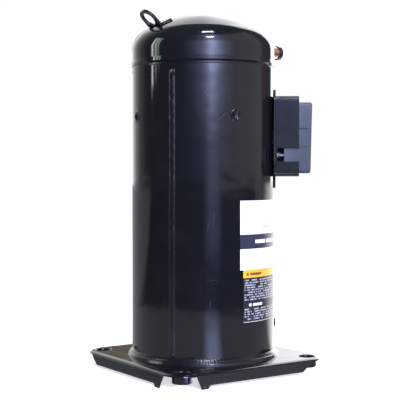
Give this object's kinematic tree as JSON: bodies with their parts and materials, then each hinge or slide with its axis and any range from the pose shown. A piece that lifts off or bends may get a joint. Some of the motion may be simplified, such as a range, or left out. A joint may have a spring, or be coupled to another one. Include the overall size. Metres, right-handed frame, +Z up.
{
  "type": "scroll compressor",
  "caption": "Hermetic scroll compressor: black domed steel can on a square four-hole base plate, with terminal box, pipe stubs, lifting lug, motor and scroll set inside.",
  "frame": {"origin": "on the shell's axis, at the level of the lower edge of the base plate's skirts", "axes": "+Z up along the shell's axis; X and Y along the sides of the base plate; the discharge stub points along +X, the suction stub along +Y, the lifting lug stands on the -X side and the terminal box faces 39 degrees from +X towards -Y"},
  "size_m": [0.2465, 0.241, 0.4559],
  "materials": {
    "shell_paint": "gloss black",
    "weld_paint": "gloss black over weld metal",
    "lug_paint": "gloss black",
    "base_paint": "gloss black",
    "stub_paint": "gloss black",
    "box_paint": "satin black",
    "plug_steel": "gloss black",
    "cover_plastic": "satin moulded",
    "stub_copper": "drawn copper",
    "cap_rubber": "glossy moulded",
    "terminal_steel": "nickel plated",
    "glass_seal": "fused glass, opaque",
    "block_plastic": "moulded phenolic",
    "plug_plastic": "natural moulded",
    "screw_brass": "machined",
    "screw_zinc": "zinc plated",
    "label_white": "laminated film",
    "label_black": "laminated film",
    "raw_steel": "pressed sheet",
    "machined_steel": "ground",
    "cast_grey": "cast and machined",
    "lamination_steel": "stacked laminations",
    "ring_aluminium": "die cast",
    "bearing_bronze": "bearing bronze",
    "winding_copper": "enamelled wire, laced",
    "lead_insulation": "braided sleeve",
    "magnet_ferrite": "sintered ferrite"
  },
  "bodies": {
    "housing": {"base_plate": "base_paint", "base_weld_bead": "shell_paint", "bottom_cap": "shell_paint", "discharge_stub": "stub_copper", "fixed_scroll": "cast_grey", "ground_screw": "screw_zinc", "internal_plug": "plug_plastic", "lifting_lug": "lug_paint", "lower_bearing_housing": "raw_steel", "lower_bush": "bearing_bronze", "main_bearing_housing": "cast_grey", "motor_leads": "lead_insulation", "motor_protector": "block_plastic", "muffler_plate": "raw_steel", "notice_label": "label_black", "oil_port_plug": "plug_steel", "plug_welds": "weld_paint", "pressure_relief_valve": "screw_brass", "rating_label": "label_white", "scroll_bolts": "screw_zinc", "shell_seam_weld": "weld_paint", "shell_tube": "shell_paint", "stator_core": "lamination_steel", "stator_winding": "winding_copper", "suction_baffle": "raw_steel", "suction_stub": "stub_paint", "sump_magnet": "magnet_ferrite", "terminal_block": "block_plastic", "terminal_cup": "terminal_steel", "terminal_fence": "box_paint", "terminal_glass": "glass_seal", "terminal_mount_plate": "box_paint", "terminal_pins": "terminal_steel", "terminal_screws": "screw_brass", "thrust_plate": "machined_steel", "thrust_washer": "machined_steel", "top_cap": "shell_paint", "top_weld_bead": "shell_paint", "upper_bush": "bearing_bronze", "valve_retainer": "raw_steel"},
    "crank": {"crankshaft": "machined_steel", "drive_bushing": "machined_steel", "upper_counterweight": "cast_grey", "lower_counterweight": "cast_grey", "rotor_core": "lamination_steel", "rotor_end_rings": "ring_aluminium", "oil_pickup": "raw_steel"},
    "orbiter": {"orbiting_scroll": "cast_grey", "orbiting_bush": "bearing_bronze"},
    "oldham": {"oldham_ring": "ring_aluminium"},
    "check_valve": {"check_valve_disc": "machined_steel"},
    "seal": {"floating_seal": "cast_grey"},
    "cover": {"terminal_cover": "cover_plastic"},
    "discharge_cap": {"discharge_dust_cap": "cap_rubber"},
    "suction_cap": {"suction_dust_cap": "cap_rubber"}
  },
  "joints": [
    {"name": "shaft_spin", "type": "hinge", "parent": "housing", "child": "crank", "pos_m": [0, 0, 0.16], "axis": [0, 0, 1], "continuous": true},
    {"name": "scroll_counter_turn", "type": "hinge", "parent": "crank", "child": "orbiter", "pos_m": [0.00525, 0, 0.317], "axis": [0, 0, 1], "continuous": true},
    {"name": "oldham_slide", "type": "slide", "parent": "housing", "child": "oldham", "axis": [0, 1, 0], "range_m": [-0.00525, 0.00525]},
    {"name": "check_valve_lift", "type": "slide", "parent": "housing", "child": "check_valve", "axis": [0, 0, 1], "range_m": [0, 0.004]},
    {"name": "floating_seal_lift", "type": "slide", "parent": "housing", "child": "seal", "axis": [0, 0, 1], "range_m": [0, 0.001]},
    {"name": "terminal_cover_pull", "type": "slide", "parent": "housing", "child": "cover", "axis": [0.7771, -0.6293, 0], "range_m": [0, 0.05]},
    {"name": "discharge_cap_pull", "type": "slide", "parent": "housing", "child": "discharge_cap", "axis": [1, 0, 0], "range_m": [0, 0.04]},
    {"name": "suction_cap_pull", "type": "slide", "parent": "housing", "child": "suction_cap", "axis": [0, 1, 0], "range_m": [0, 0.06]}
  ],
  "couplings": [
    {"joint": "scroll_counter_turn", "follows": "shaft_spin", "ratio": -1}
  ]
}
